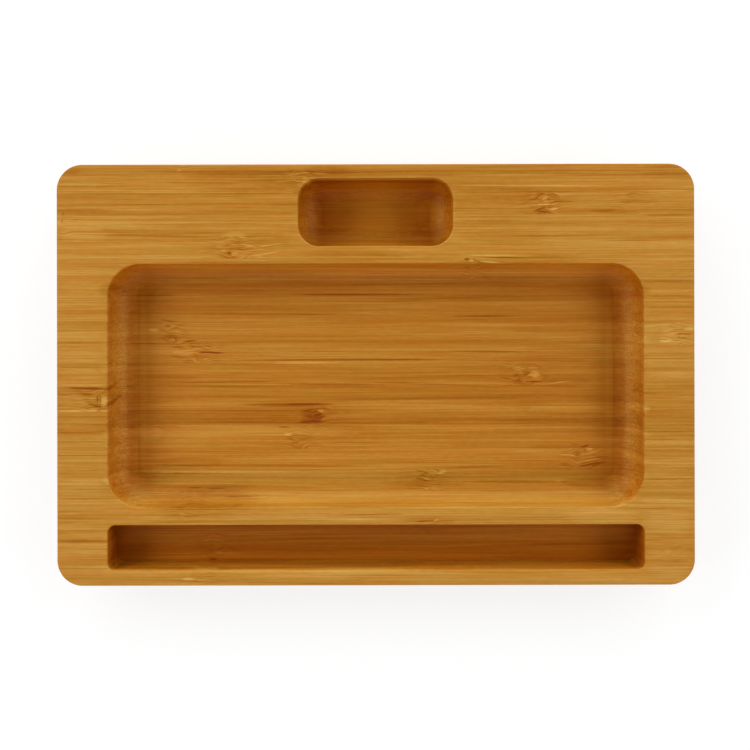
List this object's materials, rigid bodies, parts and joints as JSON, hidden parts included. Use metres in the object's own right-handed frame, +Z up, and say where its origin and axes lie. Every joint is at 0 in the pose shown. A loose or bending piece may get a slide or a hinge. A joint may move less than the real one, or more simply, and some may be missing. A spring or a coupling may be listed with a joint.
{
  "type": "bamboo tray",
  "caption": "Rectangular bamboo tray milled from edge-glued staves, with a wide round-floored pocket, a small pocket behind it and a long slot in front.",
  "frame": {"origin": "centre of the underside, on the surface the tray rests on", "axes": "+X along the staves, to the right in the picture; +Y to the back edge, where the small pocket is; +Z up"},
  "size_m": [0.3, 0.1982, 0.025],
  "materials": {
    "bamboo": "sanded and oiled, satin"
  },
  "bodies": {
    "root": {"stave_01": "bamboo", "stave_02": "bamboo", "stave_03": "bamboo", "stave_04": "bamboo", "stave_05": "bamboo", "stave_06": "bamboo", "stave_07": "bamboo", "stave_08": "bamboo", "stave_09": "bamboo", "stave_10": "bamboo", "stave_11": "bamboo", "stave_12": "bamboo", "stave_13": "bamboo", "stave_14": "bamboo", "stave_15": "bamboo", "stave_16": "bamboo", "stave_17": "bamboo", "stave_18": "bamboo", "stave_19": "bamboo", "stave_20": "bamboo"}
  },
  "joints": []
}
